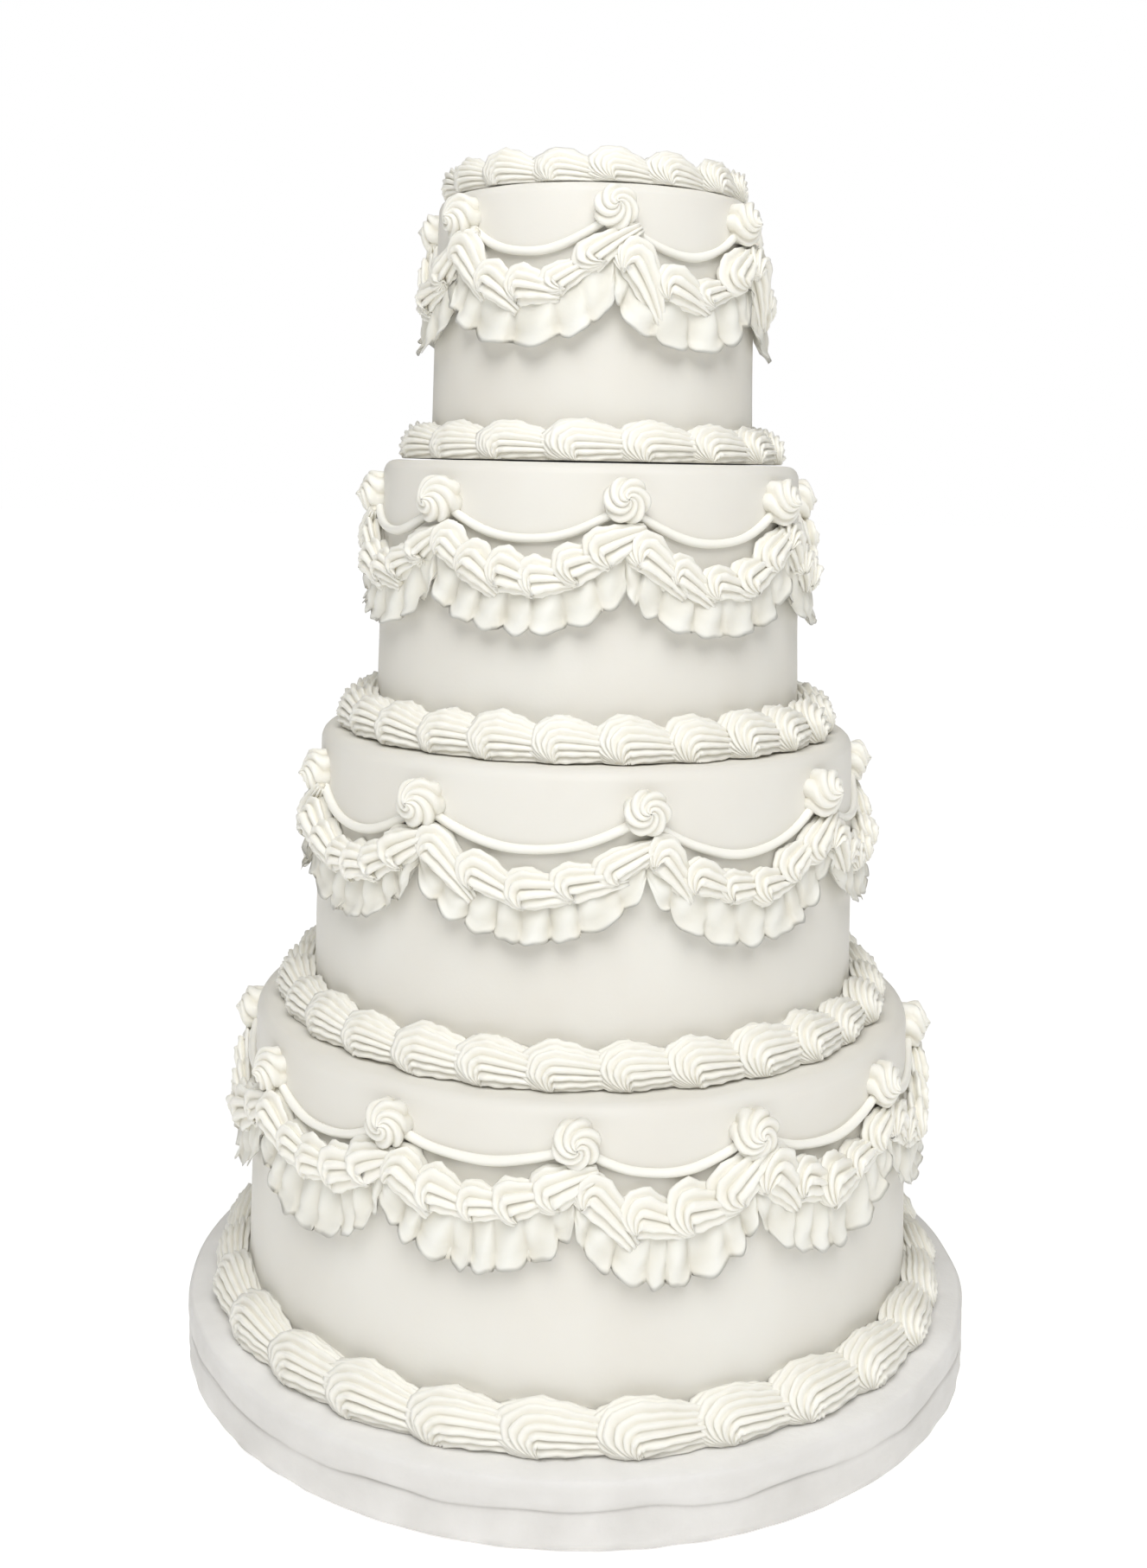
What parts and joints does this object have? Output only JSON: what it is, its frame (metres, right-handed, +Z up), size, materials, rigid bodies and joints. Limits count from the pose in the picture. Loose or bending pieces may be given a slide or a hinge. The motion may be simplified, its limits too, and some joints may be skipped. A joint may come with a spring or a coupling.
{
  "type": "wedding cake",
  "caption": "Tiered white wedding cake with piped shell borders, drop strings, shell garlands, petal ruffles and rosettes, on a round board.",
  "frame": {"origin": "centre of the board's underside", "axes": "+Z up through the tiers, -Y towards the viewer, +X to the viewer's right"},
  "size_m": [0.356, 0.356, 0.5306],
  "materials": {
    "smoothed_icing": "satin",
    "piped_icing": "satin",
    "board_cover": "satin"
  },
  "bodies": {
    "root": {"board": "board_cover", "tier_1": "smoothed_icing", "tier_2": "smoothed_icing", "tier_3": "smoothed_icing", "tier_4": "smoothed_icing", "border_foot_1": "piped_icing", "border_foot_2": "piped_icing", "border_foot_3": "piped_icing", "border_foot_4": "piped_icing", "border_top": "piped_icing", "tier_1_string": "piped_icing", "tier_1_garland": "piped_icing", "tier_1_ruffle": "piped_icing", "tier_2_string": "piped_icing", "tier_2_garland": "piped_icing", "tier_2_ruffle": "piped_icing", "tier_3_string": "piped_icing", "tier_3_garland": "piped_icing", "tier_3_ruffle": "piped_icing", "tier_4_string": "piped_icing", "tier_4_garland": "piped_icing", "tier_4_ruffle": "piped_icing", "tier_1_rosette_01": "piped_icing", "tier_1_rosette_02": "piped_icing", "tier_1_rosette_03": "piped_icing", "tier_1_rosette_04": "piped_icing", "tier_1_rosette_05": "piped_icing", "tier_1_rosette_06": "piped_icing", "tier_1_rosette_07": "piped_icing", "tier_1_rosette_08": "piped_icing", "tier_1_rosette_09": "piped_icing", "tier_1_rosette_10": "piped_icing", "tier_1_rosette_11": "piped_icing", "tier_1_rosette_12": "piped_icing", "tier_2_rosette_01": "piped_icing", "tier_2_rosette_02": "piped_icing", "tier_2_rosette_03": "piped_icing", "tier_2_rosette_04": "piped_icing", "tier_2_rosette_05": "piped_icing", "tier_2_rosette_06": "piped_icing", "tier_2_rosette_07": "piped_icing", "tier_2_rosette_08": "piped_icing", "tier_2_rosette_09": "piped_icing", "tier_3_rosette_01": "piped_icing", "tier_3_rosette_02": "piped_icing", "tier_3_rosette_03": "piped_icing", "tier_3_rosette_04": "piped_icing", "tier_3_rosette_05": "piped_icing", "tier_3_rosette_06": "piped_icing", "tier_3_rosette_07": "piped_icing", "tier_3_rosette_08": "piped_icing", "tier_4_rosette_01": "piped_icing", "tier_4_rosette_02": "piped_icing", "tier_4_rosette_03": "piped_icing", "tier_4_rosette_04": "piped_icing", "tier_4_rosette_05": "piped_icing", "tier_4_rosette_06": "piped_icing", "tier_4_rosette_07": "piped_icing"}
  },
  "joints": []
}
